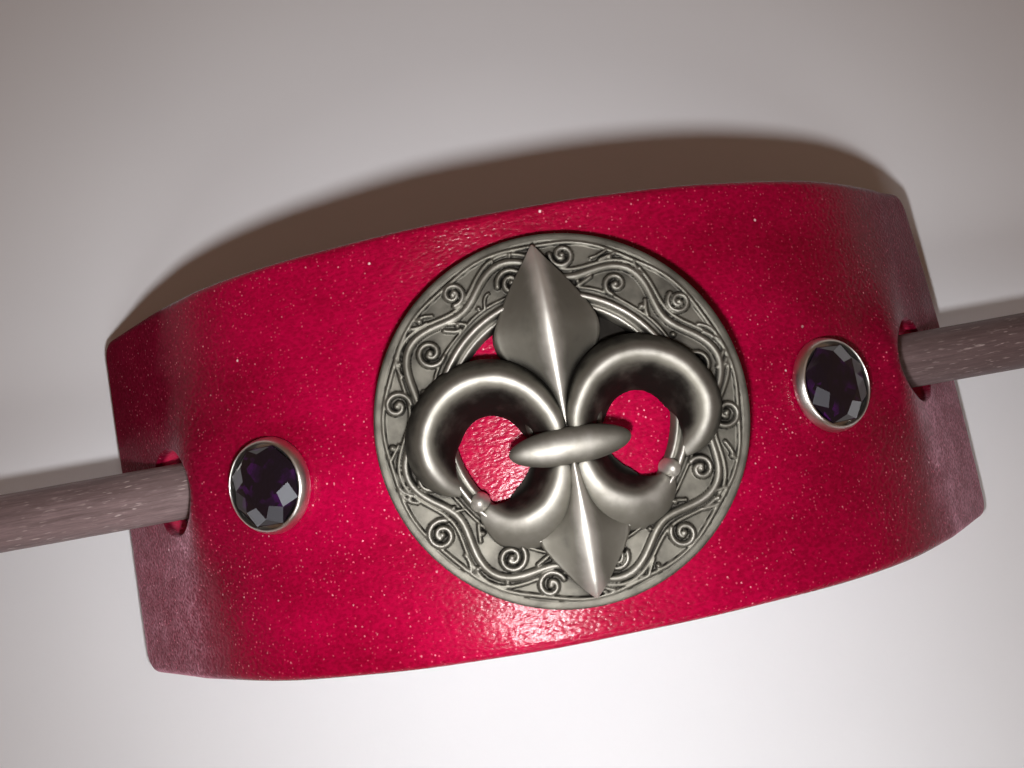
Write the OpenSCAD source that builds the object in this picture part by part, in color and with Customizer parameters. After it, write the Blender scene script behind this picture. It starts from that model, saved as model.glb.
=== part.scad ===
// Leather stick barrette: an arched strap with a pierced round concho, two crystal rivets and a hair stick.
// X runs along the strap and the stick, Y across the strap and Z up. The ends of the strap rest on Z = 0,
// and the origin lies there under the centre of the concho.

/* [Strap] */
// Width of the leather strap
strap_w = 41.5; // [38:0.5:46]
// Thickness of the leather
strap_t = 3.2; // [2.8:0.1:3.6]
// Radius of the arch's outer face
arch_r = 71.5; // [66:0.5:80]
// Angle from the crown to the bend at each end tab
arch_half_angle = 33; // [31:1:35]
// Radius of the outer face in that bend
bend_r = 14; // [10:1:20]
// Slope of the end tabs below the horizontal
tab_slope = 45; // [42:1:48]
// Length of each end tab, from the bend to its tip
tab_len = 18; // [17:0.5:20]
// Corner radius of the end tabs
corner_r = 2.5; // [1.5:0.5:4]

/* [Stick] */
// Diameter of the hair stick
stick_d = 6.4; // [5.6:0.1:6.8]
// Length of the hair stick
stick_len = 170; // [155:5:185]
// Length of the tapered point
taper_len = 24; // [20:1:28]
// Diameter of the rounded tip
tip_d = 3.6; // [2.4:0.2:5]
// Diameter of the punched holes that the stick passes through
stick_hole_d = 9.5; // [9:0.1:10.5]

/* [Concho] */
// Outer diameter of the concho
concho_d = 35; // [32:1:38]
// Thickness of the concho's ring
ring_t = 1.8; // [1.4:0.1:2.4]
// Height of the ridges of the flower above the back of the concho
ridge_h = 4.4; // [3.8:0.1:5]
// Diameter of the threaded boss on the back
boss_d = 6; // [5.5:0.1:6.5]
// Diameter of the concho screw's shank
screw_d = 4.1; // [3.8:0.1:4.3]
// Diameter of the concho screw's head
screw_head_d = 9.5; // [8:0.5:11]

/* [Crystal rivets] */
// Distance of the left rivet from the crown, measured round the arch
left_rivet_arc = 30.4; // [28:0.1:32]
// Distance of the right rivet from the crown, measured round the arch
right_rivet_arc = 28.9; // [28:0.1:32]
// Distance of both rivets from the strap's centre line
rivet_offset = -1.3; // [-2:0.1:2]
// Outer diameter of the crystal's cup
cup_d = 9.8; // [9:0.1:10.5]
// Height of the cup above the leather
cup_h = 1.6; // [1.5:0.1:2]
// Diameter of the crystal at its girdle
crystal_d = 8.4; // [8.2:0.1:8.6]
// Diameter of the rivet's shank
shank_d = 3; // [2.6:0.1:3.2]

/* [Hidden] */
$fn = 64;
eps = 0.01;         // overlap between shapes that are joined
seat_gap = 0.1;     // gap under a piece that turns or sits on the leather
arc_step = 1.5;     // angle between the profile's points where the leather is bent
foot_trim = 0.35;   // height worn off the lowest edge, which leaves the flat foot
far = 200;          // longer than the whole barrette

// Centres of the arch and of the bend, and the start of the straight tab, with the crown at height 0
arch_centre_z = -arch_r;
bend_x = (arch_r - bend_r) * sin(arch_half_angle);
bend_z = arch_centre_z + (arch_r - bend_r) * cos(arch_half_angle);
tab_x = bend_x + bend_r * sin(tab_slope);
tab_z = bend_z + bend_r * cos(tab_slope);
crown_z = -(tab_z - tab_len * sin(tab_slope) - strap_t * cos(tab_slope)) - foot_trim;

// The stick hole's centre lies on the tab, with its inner edge on the bend
hole_on_tab = stick_hole_d / 2 - 1.1;
hole_x = tab_x + hole_on_tab * cos(tab_slope) - strap_t / 2 * sin(tab_slope);
hole_z = crown_z + tab_z - hole_on_tab * sin(tab_slope) - strap_t / 2 * cos(tab_slope);
stick_z = hole_z + 1.05;
stick_gap = 0.15;   // radial gap between the stick and the leather that is pushed aside for it
give_len = 10;      // length of that pushed-aside stretch, on each side of the hole's centre

concho_r = concho_d / 2;
ring_r = 0.64 * concho_r;
concho_z = crown_z + seat_gap;
boss_len = strap_t - 0.7;
screw_seat_z = crown_z - strap_t - 0.25;

// ---------- strap ----------

// Points of one face of the strap's right half, a depth below the outer face, from the crown to the tip
function half_face(depth) = concat(
    [for (a = [0 : arc_step : arch_half_angle - arc_step / 2])
        [(arch_r - depth) * sin(a), arch_centre_z + (arch_r - depth) * cos(a)]],
    [for (a = [arch_half_angle : arc_step : tab_slope])
        [bend_x + (bend_r - depth) * sin(a), bend_z + (bend_r - depth) * cos(a)]],
    [[tab_x - depth * sin(tab_slope) + tab_len * cos(tab_slope),
      tab_z - depth * cos(tab_slope) - tab_len * sin(tab_slope)]]);

// The same face from the left tip to the right one
function whole_face(depth) = let (half = half_face(depth)) concat(
    [for (i = [len(half) - 1 : -1 : 1]) [-half[i][0], half[i][1]]],
    half);

// The strap seen from the side, with the crown at height 0
module profile() {
    inner = whole_face(strap_t);
    polygon(concat(whole_face(0), [for (i = [len(inner) - 1 : -1 : 0]) inner[i]]));
}

// Moves the children from the tab's own frame (X down the tab, Z out of its outer face) to the right or left tab
module on_tab(side) {
    mirror([side < 0 ? 1 : 0, 0, 0])
        translate([tab_x, 0, crown_z + tab_z])
            rotate([0, tab_slope, 0])
                children();
}

// Moves the children from a frame on the outer face, Z outwards, to the right or left rivet's place on the arch
module on_arch(side) {
    arc = side < 0 ? left_rivet_arc : right_rivet_arc;
    translate([0, rivet_offset, crown_z - arch_r])
        rotate([0, side * arc / arch_r * 180 / PI, 0])
            translate([0, 0, arch_r])
                children();
}

module corner_cutter() {
    difference() {
        translate([-corner_r, -corner_r, -strap_t - 1])
            cube([corner_r + 1, corner_r + 1, strap_t + 2]);
        translate([-corner_r, -corner_r, -strap_t - 2])
            cylinder(r = corner_r, h = strap_t + 4);
    }
}

// The leather taken from one half: the punched hole, the tab's round corners and the room for the stick
module tab_cuts(side) {
    on_tab(side) {
        translate([hole_on_tab, 0, -strap_t - 1])
            cylinder(d = stick_hole_d, h = strap_t + 2);
        for (end = [0, 1])
            mirror([0, end, 0])
                translate([tab_len, strap_w / 2, 0])
                    corner_cutter();
    }
    translate([side * hole_x - give_len, 0, stick_z])
        rotate([0, 90, 0])
            cylinder(d = stick_d + 2 * stick_gap, h = 2 * give_len);
}

module strap() {
    color("crimson")
        difference() {
            translate([0, strap_w / 2, crown_z])
                rotate([90, 0, 0])
                    linear_extrude(strap_w)
                        profile();
            for (side = [-1, 1]) {
                tab_cuts(side);
                on_arch(side)
                    translate([0, 0, -strap_t - 1])
                        cylinder(d = shank_d + 0.2, h = strap_t + 2);
            }
            translate([0, 0, crown_z - strap_t - 1])
                cylinder(d = boss_d + 0.2, h = strap_t + 2);
            translate([-far / 2, -far / 2, -far])
                cube(far);
        }
}

// ---------- concho ----------

// A petal with a ridge along Y: its outline, cut to a roof that falls from the ridge to both edges
module petal(outline, half_w, top, edge_h) {
    intersection() {
        linear_extrude(top + 1)
            polygon(outline);
        translate([0, far / 2, 0])
            rotate([90, 0, 0])
                linear_extrude(far)
                    polygon([[-half_w, 0], [half_w, 0], [half_w, edge_h], [0, top], [-half_w, edge_h]]);
    }
}

// One side's outline mirrored to a closed one; the points run from the top down at X >= 0
function both_sides(side_points) = concat(
    side_points,
    [for (i = [len(side_points) - 1 : -1 : 0]) if (side_points[i][0] > 0) [-side_points[i][0], side_points[i][1]]]);

// A round bar bent along a level arc, which ends in a point
module scroll(bend, bar_r, start, sweep) {
    rotate([0, 0, start])
        rotate_extrude(angle = sweep)
            translate([bend, 0])
                circle(bar_r);
    rotate([0, 0, start + sweep])
        translate([bend, -0.1 * sign(sweep), 0])
            rotate([-90 * sign(sweep), 0, 0])
                cylinder(r1 = 0.9 * bar_r, r2 = 0.25 * bar_r, h = 1.4 * bar_r);
}

module volute() {
    bar_r = 0.11 * concho_r;
    translate([0.43 * concho_r, -0.06 * concho_r, ridge_h - bar_r])
        scroll(0.325 * concho_r, bar_r, 165, -225);
}

module lower_strand() {
    bar_r = 0.075 * concho_r;
    translate([0.36 * concho_r, -0.22 * concho_r, 0.8 * ridge_h - bar_r])
        scroll(0.26 * concho_r, bar_r, 190, 110);
}

// The band round the flower's waist narrows to both ends
module waist_band() {
    band_r = 0.1 * concho_r;
    end_r = 0.6 * band_r;
    middle_len = 0.2 * concho_r;
    taper = 0.21 * concho_r;
    translate([0, -0.155 * concho_r, ridge_h + 0.4 - band_r])
        rotate([0, 90, 0]) {
            cylinder(r = band_r, h = middle_len, center = true);
            for (end = [0, 1])
                mirror([0, 0, end])
                    translate([0, 0, middle_len / 2])
                        cylinder(r1 = band_r, r2 = end_r, h = taper);
        }
}

module upper_petal() {
    petal(both_sides([
        [0, 0.92 * concho_r],
        [0.15 * concho_r, 0.76 * concho_r],
        [0.26 * concho_r, 0.58 * concho_r],
        [0.27 * concho_r, 0.46 * concho_r],
        [0.17 * concho_r, 0.2 * concho_r],
        [0.08 * concho_r, -0.15 * concho_r]]),
        0.28 * concho_r, 0.93 * ridge_h, 0.55 * ridge_h);
}

module lower_petal() {
    petal(both_sides([
        [0.05 * concho_r, -0.15 * concho_r],
        [0.12 * concho_r, -0.42 * concho_r],
        [0.235 * concho_r, -0.62 * concho_r],
        [0.2 * concho_r, -0.73 * concho_r],
        [0, -0.94 * concho_r]]),
        0.24 * concho_r, 0.8 * ridge_h, 0.5 * ridge_h);
}

module ring() {
    rim_w = 0.06 * concho_r;
    rotate_extrude()
        polygon([
            [ring_r, 0],
            [concho_r - 0.4, 0],
            [concho_r, 0.4],
            [concho_r, 0.5 * ring_t],
            [concho_r - rim_w, 0.8 * ring_t],
            [ring_r + 0.8, ring_t],
            [ring_r, 0.7 * ring_t]]);
}

module concho() {
    hub_r = 3.6;
    thread_gap = 0.04;
    color("silver")
        translate([0, 0, concho_z])
            difference() {
                union() {
                    ring();
                    upper_petal();
                    lower_petal();
                    waist_band();
                    for (side = [0, 1])
                        mirror([side, 0, 0]) {
                            volute();
                            lower_strand();
                        }
                    cylinder(r = hub_r, h = ring_t);
                    translate([0, 0, -boss_len])
                        cylinder(d = boss_d, h = boss_len + eps);
                }
                translate([0, 0, -boss_len - 1])
                    cylinder(r = screw_d / 2 + thread_gap, h = boss_len + 1 + ring_t);
            }
}

module concho_screw() {
    head_h = 1.1;
    slot_w = 1.1;
    slot_depth = 0.6;
    shank_len = concho_z + ring_t - 0.4 - screw_seat_z;
    color("silver")
        translate([0, 0, screw_seat_z])
            difference() {
                union() {
                    cylinder(d = screw_d, h = shank_len);
                    translate([0, 0, -head_h / 2])
                        cylinder(d = screw_head_d, h = head_h / 2);
                    translate([0, 0, -head_h])
                        cylinder(d1 = screw_head_d - 1.6, d2 = screw_head_d, h = head_h / 2 + eps);
                }
                translate([-far / 2, -slot_w / 2, -head_h - 1])
                    cube([far, slot_w, slot_depth + 1]);
            }
}

// ---------- crystal rivets ----------

floor_t = 0.4;      // thickness of the cup's floor
girdle_z = 1.1;     // height of the crystal's widest line above the leather
back_gap = 0.3;     // height of the crystal's flat back above the cup's floor

module crystal_cup(side) {
    bead_r = 0.5;
    color("silver")
        on_arch(side)
            difference() {
                union() {
                    cylinder(r = cup_d / 2 - bead_r, h = cup_h - bead_r);
                    translate([0, 0, floor_t])
                        cylinder(d = cup_d, h = cup_h - bead_r - floor_t);
                    cylinder(d1 = cup_d - 2 * bead_r, d2 = cup_d, h = floor_t + eps);
                    translate([0, 0, cup_h - bead_r])
                        rotate_extrude()
                            translate([cup_d / 2 - bead_r, 0])
                                circle(bead_r);
                }
                translate([0, 0, floor_t])
                    cylinder(d = crystal_d + 0.1, h = cup_h);
                translate([0, 0, -1])
                    cylinder(d = shank_d + 0.04, h = cup_h);
            }
}

module crystal(side) {
    facets = 8;
    table_z = cup_h + 0.45;
    table_r = 0.3 * crystal_d;
    girdle_h = 0.25;
    crown_slope = atan((table_z - girdle_z - girdle_h) / (crystal_d / 2 - table_r));
    color("indigo")
        on_arch(side)
            difference() {
                union() {
                    translate([0, 0, girdle_z])
                        cylinder(d = crystal_d, h = table_z - girdle_z);
                    translate([0, 0, floor_t + back_gap])
                        cylinder(d1 = 0.5 * crystal_d, d2 = crystal_d, h = girdle_z - floor_t - back_gap + eps);
                }
                for (i = [0 : facets - 1])
                    rotate([0, 0, (i + 0.5) * 360 / facets])
                        translate([crystal_d / 2, 0, girdle_z + girdle_h])
                            rotate([0, crown_slope, 0])
                                translate([-crystal_d, -crystal_d, 0])
                                    cube(2 * crystal_d);
            }
}

module rivet(side) {
    head_d = 8;
    head_h = 0.9;
    head_z = -strap_t - 0.15;
    flare_d = 4.4;
    color("gold")
        on_arch(side) {
            translate([0, 0, head_z])
                cylinder(d = shank_d, h = floor_t + 0.02 - head_z + eps);
            translate([0, 0, head_z - head_h / 2])
                cylinder(d = head_d, h = head_h / 2);
            translate([0, 0, head_z - head_h])
                cylinder(d1 = head_d - 1.4, d2 = head_d, h = head_h / 2 + eps);
            translate([0, 0, floor_t + 0.02])
                cylinder(d1 = flare_d, d2 = flare_d - 0.8, h = 0.2);
        }
}

// ---------- stick ----------

module hair_stick() {
    tip_r = tip_d / 2;
    body_r = stick_d / 2;
    body_len = stick_len - taper_len - body_r;
    color("dimgray")
        translate([-stick_len / 2, 0, stick_z])
            rotate([0, 90, 0]) {
                translate([0, 0, body_r])
                    sphere(body_r);
                translate([0, 0, body_r])
                    cylinder(r = body_r, h = body_len);
                translate([0, 0, body_r + body_len - eps])
                    cylinder(r1 = body_r, r2 = tip_r, h = taper_len - tip_r + eps);
                translate([0, 0, stick_len - tip_r])
                    sphere(tip_r);
            }
}

strap();
concho();
concho_screw();
crystal_cup(-1);  // left_crystal_cup
crystal(-1);  // left_crystal
rivet(-1);  // left_rivet
crystal_cup(1);  // right_crystal_cup
crystal(1);  // right_crystal
rivet(1);  // right_rivet
hair_stick();
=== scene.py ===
import math
import random

import bpy
import numpy as np
from mathutils import Matrix, Vector
from mathutils.geometry import delaunay_2d_cdt


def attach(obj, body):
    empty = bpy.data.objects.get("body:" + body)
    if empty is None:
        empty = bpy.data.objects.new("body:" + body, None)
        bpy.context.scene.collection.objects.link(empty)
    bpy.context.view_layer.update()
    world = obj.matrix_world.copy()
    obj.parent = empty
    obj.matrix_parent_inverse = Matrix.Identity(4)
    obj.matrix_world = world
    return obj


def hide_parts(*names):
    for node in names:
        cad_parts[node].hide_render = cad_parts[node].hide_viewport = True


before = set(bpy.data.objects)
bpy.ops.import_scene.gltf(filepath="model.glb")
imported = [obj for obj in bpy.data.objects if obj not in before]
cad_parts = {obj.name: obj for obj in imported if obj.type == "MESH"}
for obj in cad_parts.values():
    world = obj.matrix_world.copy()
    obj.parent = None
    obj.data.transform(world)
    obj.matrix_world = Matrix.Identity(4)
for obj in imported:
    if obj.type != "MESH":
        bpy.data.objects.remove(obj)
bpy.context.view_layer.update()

MM = 0.001

# Strap
CROWN_Z = 28.017        # height of the outer face at the crown
ARCH_R = 71.5           # outer radius of the arch
ARCH_HALF = math.radians(33)
BEND_R = 14.0           # outer radius of the bend at each tab
TAB_SLOPE = math.radians(45)
TAB_LEN = 18.0
STRAP_T = 3.2
STRAP_HALF_W = 20.75
CORNER_R = 2.5
BEND_START = ARCH_R * ARCH_HALF
TAB_START = BEND_START + BEND_R * (TAB_SLOPE - ARCH_HALF)
STRAP_HALF_LEN = TAB_START + TAB_LEN
EDGE_CURL = 0.75        # bending the strap lifts its long edges beside the concho
BEND_SLACK = 6.0        # length over which the bend eases near the long edges
LEFT_TRIM = 1.0         # the end cuts are not square: the left one runs in at the near edge
RIGHT_TRIM = 5.5        # and the right one at the far edge
END_SPREAD = 0.5        # how much wider the strap gets at the far edge of its right end
HOLE_S = TAB_START + 2.9     # stick hole's centre, measured along the outer face from the crown
HOLE_R = 4.75
LIP_PULL = {"left": 0.7, "right": 2.0}      # how far use has drawn each hole's inner edge to the crown
LIP_LIFT = 1.6          # how far the stick lifts the leather beside a hole's inner edge
LIP_PRESS = 0.35        # and presses it down beside the outer edge
STICK_CLEAR = 0.06      # room left between the stick and the leather
RIVET_S = {"left": -30.4, "right": 28.9}    # each rivet's place along the outer face
RIVET_Y = -1.3
RIVET_HOLE_R = 1.6
BOSS_HOLE_R = 3.1

# Stick
STICK_Z = 11.976        # height of its axis
STICK_R = 3.2
STICK_HALF_LEN = 85.0

# Concho
CONCHO_R = 17.5
CONCHO_Z = CROWN_Z + 0.1    # height of its back
RIDGE_ROUND = 2.2       # how far the rounded top of a volute's ridge reaches
VINE_WAVES = 8

# Crystals
FACETS = 8
KITE_PAINTED_REFLECTION = {          # the kite facets given a painted grey reflection of the room, and how brightly
    "left": {7: 1.0, 5: 0.8, 6: 0.35, 3: 0.7},
    "right": {6: 0.8, 1: 0.5, 4: 0.4},
}


# ---------- mesh building ----------

def tube_faces(rows, cols, start=0):
    """Quads between loops of vertices, of which there are rows with cols vertices each."""
    faces = []
    for i in range(rows - 1):
        for j in range(cols):
            k = (j + 1) % cols
            a = start + i * cols
            b = a + cols
            faces.append((a + j, a + k, b + k, b + j))
    return faces


def closing_faces(rows, cols):
    """Quads from a tube's last loop back to its first, which make it a ring."""
    last = (rows - 1) * cols
    return [(last + j, last + (j + 1) % cols, (j + 1) % cols, j) for j in range(cols)]


def mesh_object(name, verts, faces, sharp_deg=50, **attributes):
    """A smooth-shaded mesh from millimetres, with one float attribute per keyword."""
    mesh = bpy.data.meshes.new(name)
    mesh.from_pydata((np.asarray(verts, float) * MM).tolist(), [], faces)
    for key, values in attributes.items():
        layer = mesh.attributes.new(key, "FLOAT", "POINT")
        layer.data.foreach_set("value", np.asarray(values, np.float32))
    mesh.shade_smooth()
    mesh.set_sharp_from_angle(angle=math.radians(sharp_deg))
    obj = bpy.data.objects.new(name, mesh)
    bpy.context.scene.collection.objects.link(obj)
    return obj


class Shells:
    """Closed shells gathered into one mesh, each vertex with one value for how worn it is, which on the dark
    plate is painted shade.
    """

    def __init__(self):
        self.verts, self.faces, self.wear = [], [], []

    def add(self, verts, faces, wear):
        start = len(self.verts)
        self.verts.extend(map(tuple, verts))
        self.faces.extend(tuple(i + start for i in f) for f in faces)
        self.wear.extend(wear)

    def add_mirrored(self, verts, faces, wear):
        """The shell and its mirror image across the YZ plane."""
        self.add(verts, faces, wear)
        other = np.array(verts, float) * (-1, 1, 1)
        self.add(other, [f[::-1] for f in faces], wear)


def lathe(profile, segments):
    """A closed solid turned about Z, from (r, z) points that run from the bottom's middle to the top's."""
    inner = profile[1:-1]
    turn = np.linspace(0, 2 * math.pi, segments, endpoint=False)
    verts = [(r * math.cos(a), r * math.sin(a), z) for r, z in inner for a in turn]
    faces = tube_faces(len(inner), segments)
    bottom = len(verts)
    top = bottom + 1
    verts += [(0, 0, profile[0][1]), (0, 0, profile[-1][1])]
    last = (len(inner) - 1) * segments
    for j in range(segments):
        k = (j + 1) % segments
        faces.append((bottom, k, j))
        faces.append((top, last + j, last + k))
    return np.array(verts, float), faces


def ring_lathe(loop, segments):
    """A closed ring turned about Z. Its loop of (r, z) points runs counter-clockwise, with z up."""
    turn = np.linspace(0, 2 * math.pi, segments, endpoint=False)
    verts = [(r * math.cos(a), r * math.sin(a), z) for r, z in loop for a in turn]
    return np.array(verts, float), tube_faces(len(loop), segments) + closing_faces(len(loop), segments)


def loft(sections):
    """A closed solid through closed loops of equal length, capped at both ends."""
    count = len(sections[0])
    verts = [tuple(p) for loop in sections for p in loop]
    faces = tube_faces(len(sections), count)
    faces.append(tuple(range(count))[::-1])
    last = (len(sections) - 1) * count
    faces.append(tuple(range(last, last + count)))
    return np.array(verts, float), faces


def smooth_path(points, count):
    """A Catmull-Rom curve through the points, as count samples."""
    p = np.array(points, float)
    p = np.vstack([2 * p[0] - p[1], p, 2 * p[-1] - p[-2]])
    out = []
    for t in np.linspace(0, len(points) - 1 - 1e-9, count):
        i = int(t)
        f = t - i
        a, b, c, d = p[i], p[i + 1], p[i + 2], p[i + 3]
        out.append(0.5 * (2 * b + (c - a) * f + (2 * a - 5 * b + 4 * c - d) * f * f
                          + (3 * b - a - 3 * c + d) * f ** 3))
    return np.array(out)


# ---------- strap ----------

def outer_face(s):
    """Point (x, z) on the strap's outer face and its slope angle, at an arc length from the crown."""
    a = np.abs(s)
    arch = np.minimum(a, BEND_START) / ARCH_R
    bend = np.clip(a - BEND_START, 0, TAB_START - BEND_START) / BEND_R
    tab = np.maximum(a - TAB_START, 0)
    slope = arch + bend
    centre = ARCH_R - BEND_R
    bent_x = centre * math.sin(ARCH_HALF) + BEND_R * np.sin(slope)
    bent_z = centre * math.cos(ARCH_HALF) + BEND_R * np.cos(slope)
    x = np.where(a < BEND_START, ARCH_R * np.sin(arch), bent_x) + tab * math.cos(TAB_SLOPE)
    z = np.where(a < BEND_START, ARCH_R * np.cos(arch), bent_z) - tab * math.sin(TAB_SLOPE)
    return np.sign(s) * x, CROWN_Z - ARCH_R + z, np.sign(s) * slope


def smooth_step(value, low, high):
    """0 below low, 1 above high and an S-curve between them."""
    t = np.clip((value - low) / (high - low), 0, 1)
    return t * t * (3 - 2 * t)


def on_leather(flat):
    """Maps (arc length, across, depth below the outer face) to the arched strap.
    The end cuts run askew, and each stick hole's inner edge is drawn towards the crown.
    The bend at each tab is tight beside the stick and slack towards the strap's long edges."""
    s, y, depth = flat.T
    reach = np.abs(s)
    outwards = smooth_step(reach, TAB_START + 2, STRAP_HALF_LEN)
    across = 0.5 + 0.5 * y / STRAP_HALF_W       # 0 at the near edge and 1 at the far one
    trim = np.where(s > 0, RIGHT_TRIM * np.abs(across) ** 2.2, LEFT_TRIM * (across - 1))
    s = s - trim * outwards
    pull = np.where(s > 0, LIP_PULL["right"], -LIP_PULL["left"])
    s = s - pull * np.exp(-((reach - HOLE_S + HOLE_R) / 4.5) ** 2 - (y / 7) ** 2)
    y = y + END_SPREAD * outwards * np.where(s > 0, across ** 2, 0)
    beside_stick = smooth_step(np.abs(y), 4, 15)
    slack = BEND_SLACK * beside_stick * np.exp(-((reach - BEND_START) / 9) ** 2)
    steps = np.linspace(-1, 1, 9)
    x, z, slope = sum(np.array(outer_face(s + slack * k)) for k in steps) / len(steps)
    return np.stack([x - depth * np.sin(slope), y, z - depth * np.cos(slope)], axis=1)


def give_way(points, flat):
    """Lifts the leather over the stick at a hole's inner edge, presses it down at the outer edge, and
    then clears the stick itself."""
    s = np.abs(flat[:, 0])
    y = flat[:, 1]
    lip = HOLE_S - HOLE_R
    along = np.where(s < lip, np.exp(-((lip - s) / 3.9) ** 2), np.exp(-((s - lip) / 3.4) ** 2))
    points[:, 2] += LIP_LIFT * along * np.exp(-np.abs(y / 5.6) ** 2.4)
    outer_lip = np.exp(-((s - HOLE_S - HOLE_R) / 3.0) ** 2) * np.exp(-(y / 4.0) ** 2)
    points[:, 2] -= LIP_PRESS * outer_lip
    near = s > lip - 6
    dz = points[:, 2] - STICK_Z
    gap = np.hypot(points[:, 1], dz)
    clear = STICK_R + STICK_CLEAR
    push = near & (gap < clear)
    scale = np.where(push, clear / np.maximum(gap, 0.01), 1.0)
    points[:, 1] *= scale
    points[:, 2] = STICK_Z + dz * scale
    return points


def uneven(points, flat):
    """Adds slow waves, lifted and wavering long edges and the frayed fibres of the near edge on the right."""
    s, y = flat[:, 0], flat[:, 1]
    wave = (0.07 * np.sin(s / 9.1 + 0.7) * np.sin(y / 7.3 + 1.1)
            + 0.035 * np.sin(s / 4.3 + y / 5.2)
            + 0.015 * np.sin(s / 2.1 - y / 2.9 + 2.0))
    ease = np.clip((STRAP_HALF_LEN - np.abs(s)) / 6, 0, 1)
    points[:, 2] += wave * ease
    arched = 1 - smooth_step(np.abs(s), 30, 44)
    beyond_concho = smooth_step(np.hypot(s, y), 16.5, 22)
    points[:, 2] += EDGE_CURL * arched * beyond_concho * (np.abs(y) / STRAP_HALF_W) ** 3
    edge = np.clip(1 - (STRAP_HALF_W - np.abs(y)) / 2, 0, 1)
    points[:, 1] += edge * (0.05 * np.sin(s / 7.7 + 0.4) + 0.015 * np.sin(s / 2.3))
    frayed = smooth_step(s, 22, 34) * smooth_step(-y, STRAP_HALF_W - 0.4, STRAP_HALF_W)
    frayed = frayed * smooth_step(flat[:, 2], 0.9, 1.8)
    fibre = np.clip(np.sin(s * 5.3) * np.sin(s * 2.1 + 1.0) * np.sin(s * 0.83), 0, 1)
    points[:, 1] -= 0.45 * frayed * fibre
    return points


def rounded_rectangle(inset, step=0.45, corner_steps=8):
    """The strap's outline moved inwards; every inset gives the same number of points."""
    half_x, half_y = STRAP_HALF_LEN - inset, STRAP_HALF_W - inset
    r = max(CORNER_R - inset, 0.2)
    along = int(2 * (STRAP_HALF_LEN - CORNER_R) / step)
    across = int(2 * (STRAP_HALF_W - CORNER_R) / step)
    points = []
    sides = [(1, -1, across), (1, 1, along), (-1, 1, across), (-1, -1, along)]
    for i, (sx, sy, count) in enumerate(sides):
        centre = np.array([sx * (half_x - r), sy * (half_y - r)])
        for k in range(corner_steps):
            a = math.radians(-90 + 90 * i + 90 * k / corner_steps)
            points.append(centre + r * np.array([math.cos(a), math.sin(a)]))
        a = math.radians(90 * i)
        start = centre + r * np.array([math.cos(a), math.sin(a)])
        nx, ny, _ = sides[(i + 1) % 4]
        next_centre = np.array([nx * (half_x - r), ny * (half_y - r)])
        end = next_centre + r * np.array([math.cos(a), math.sin(a)])
        for k in range(count):
            points.append(start + (end - start) * k / count)
    return np.array(points)


def circle_points(cx, cy, radius, count):
    """Points round a circle, counter-clockwise."""
    a = np.linspace(0, 2 * math.pi, count, endpoint=False)
    return np.stack([cx + radius * np.cos(a), cy + radius * np.sin(a)], axis=1)


def rounded_edge(top_r, bottom_r, steps):
    """(inset, depth) pairs down a leather edge, over its round corners, from the outer face to the inner."""
    pairs = []
    for a in np.linspace(0, math.pi / 2, steps):
        pairs.append((top_r * (1 - math.sin(a)), top_r * (1 - math.cos(a))))
    middle = (top_r + STRAP_T - bottom_r) / 2
    pairs.append((0.0, middle))
    for a in np.linspace(0, math.pi / 2, steps):
        pairs.append((bottom_r * (1 - math.cos(a)), STRAP_T - bottom_r * (1 - math.sin(a))))
    return pairs


def fill(boundaries, holes, spacing):
    """Triangles over the strap's flat face, between its outline and holes, with a grid of points inside.
    Returns the grid's points and the triangles. Indices run over the boundary points, then the grid's."""
    margin = 1.5
    nx = int((STRAP_HALF_LEN - margin) / spacing)
    ny = int((STRAP_HALF_W - margin) / spacing)
    gx, gy = np.meshgrid(np.arange(-nx, nx + 1) * spacing, np.arange(-ny, ny + 1) * spacing)
    gx = gx + 0.5 * spacing * (np.arange(2 * ny + 1) % 2)[:, None]
    grid = np.stack([gx.ravel(), gy.ravel()], axis=1)
    keep = np.abs(grid[:, 0]) < STRAP_HALF_LEN - margin
    for cx, cy, r in holes:
        keep &= np.hypot(grid[:, 0] - cx, grid[:, 1] - cy) > r + 0.4 * spacing
    grid = grid[keep]
    coords = [Vector(p) for loop in boundaries for p in loop] + [Vector(p) for p in grid]
    edges = []
    start = 0
    for loop in boundaries:
        n = len(loop)
        edges += [(start + i, start + (i + 1) % n) for i in range(n)]
        start += n
    verts, _, tris, origin, _, _ = delaunay_2d_cdt(coords, edges, [], 0, 1e-6, True)
    where = [o[0] for o in origin]
    faces = []
    for tri in tris:
        a, b, c = (verts[i] for i in tri)
        mid = (a + b + c) / 3
        if any(math.hypot(mid.x - cx, mid.y - cy) < r for cx, cy, r in holes):
            continue
        turn = (b - a).cross(c - a)
        order = tri if turn > 0 else tri[::-1]
        faces.append(tuple(where[i] for i in order))
    return grid, faces


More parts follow.
